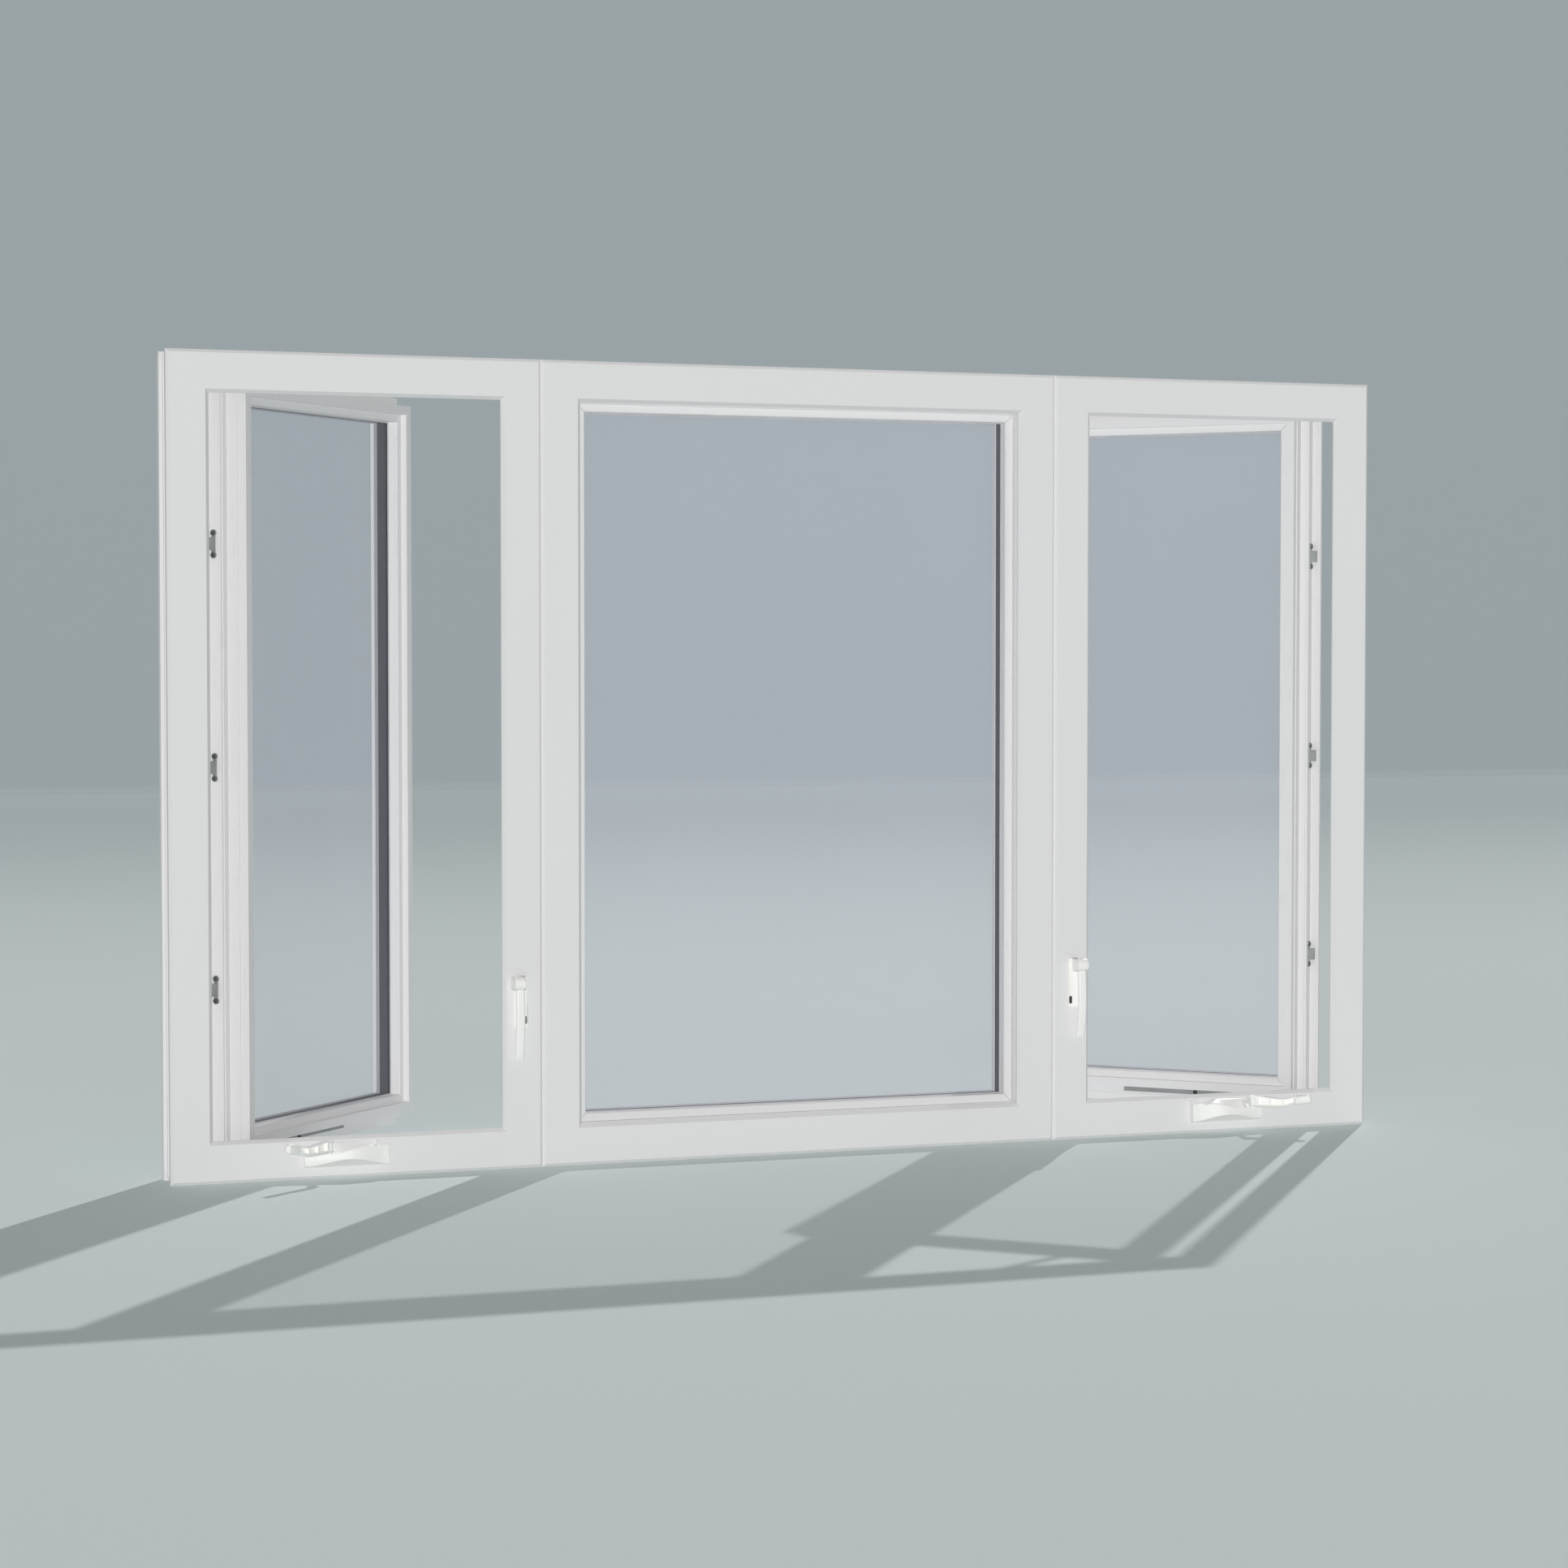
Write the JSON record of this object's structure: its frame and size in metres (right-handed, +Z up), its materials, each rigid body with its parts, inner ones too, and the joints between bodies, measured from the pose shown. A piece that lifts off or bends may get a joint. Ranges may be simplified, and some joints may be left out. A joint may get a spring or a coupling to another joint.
{
  "type": "triple casement window",
  "caption": "White vinyl window with a fixed middle light between casements that are cranked open outwards, with folding crank handles on the sills and lock levers on the jambs.",
  "frame": {"origin": "under the rear flange of the middle sill, at mid-width", "axes": "+X to the right seen from the room, +Y out through the wall, +Z up"},
  "size_m": [1.8, 0.4747, 1.112],
  "materials": {
    "white_vinyl": "smooth satin extrusion",
    "off_white_hardware": "off-white enamel",
    "plated_steel": "dull zinc plate",
    "clear_glass": "clear float glass",
    "dark_spacer": "matte black",
    "grey_seal": "matte"
  },
  "bodies": {
    "window": {"left_frame_head": "white_vinyl", "left_frame_sill": "white_vinyl", "left_frame_outer_jamb": "white_vinyl", "left_frame_inner_jamb": "white_vinyl", "left_frame_seal": "grey_seal", "left_sash": "white_vinyl", "left_glazing_beads": "white_vinyl", "left_glass": "clear_glass", "left_spacer": "dark_spacer", "centre_frame_head": "white_vinyl", "centre_frame_sill": "white_vinyl", "centre_frame_left_jamb": "white_vinyl", "centre_frame_right_jamb": "white_vinyl", "centre_frame_seal": "grey_seal", "centre_sash": "white_vinyl", "centre_glazing_beads": "white_vinyl", "centre_glass": "clear_glass", "centre_spacer": "dark_spacer", "right_frame_head": "white_vinyl", "right_frame_sill": "white_vinyl", "right_frame_outer_jamb": "white_vinyl", "right_frame_inner_jamb": "white_vinyl", "right_frame_seal": "grey_seal", "right_sash": "white_vinyl", "right_glazing_beads": "white_vinyl", "right_glass": "clear_glass", "right_spacer": "dark_spacer", "left_hinge_tracks": "plated_steel", "left_hinge_arms": "plated_steel", "left_operator": "plated_steel", "left_sash_guide": "plated_steel", "left_snubbers": "plated_steel", "left_crank_cover": "off_white_hardware", "left_lock_base": "off_white_hardware", "right_hinge_tracks": "plated_steel", "right_hinge_arms": "plated_steel", "right_operator": "plated_steel", "right_sash_guide": "plated_steel", "right_snubbers": "plated_steel", "right_crank_cover": "off_white_hardware", "right_lock_base": "off_white_hardware"},
    "left_crank": {"left_crank_knuckle": "off_white_hardware"},
    "left_handle": {"left_crank_handle": "off_white_hardware"},
    "left_lock": {"left_lock_lever": "off_white_hardware"},
    "right_crank": {"right_crank_knuckle": "off_white_hardware"},
    "right_handle": {"right_crank_handle": "off_white_hardware"},
    "right_lock": {"right_lock_lever": "off_white_hardware"}
  },
  "joints": [
    {"name": "left_crank_turn", "type": "hinge", "parent": "window", "child": "left_crank", "pos_m": [-0.693, -0.0635, 0.042], "axis": [0, -1, 0], "continuous": true},
    {"name": "left_handle_fold", "type": "hinge", "parent": "left_crank", "child": "left_handle", "pos_m": [-0.693, -0.0975, 0.048], "axis": [0, 0, 1], "range_deg": [0, 143.5]},
    {"name": "left_lock_swing", "type": "hinge", "parent": "window", "child": "left_lock", "pos_m": [-0.423, -0.077, 0.2565], "axis": [-1, 0, 0], "range_deg": [0, 150]},
    {"name": "right_crank_turn", "type": "hinge", "parent": "window", "child": "right_crank", "pos_m": [0.693, -0.0635, 0.042], "axis": [0, -1, 0], "continuous": true},
    {"name": "right_handle_fold", "type": "hinge", "parent": "right_crank", "child": "right_handle", "pos_m": [0.693, -0.0975, 0.048], "axis": [0, 0, -1], "range_deg": [0, 143.5]},
    {"name": "right_lock_swing", "type": "hinge", "parent": "window", "child": "right_lock", "pos_m": [0.423, -0.077, 0.2565], "axis": [-1, 0, 0], "range_deg": [0, 150]}
  ]
}
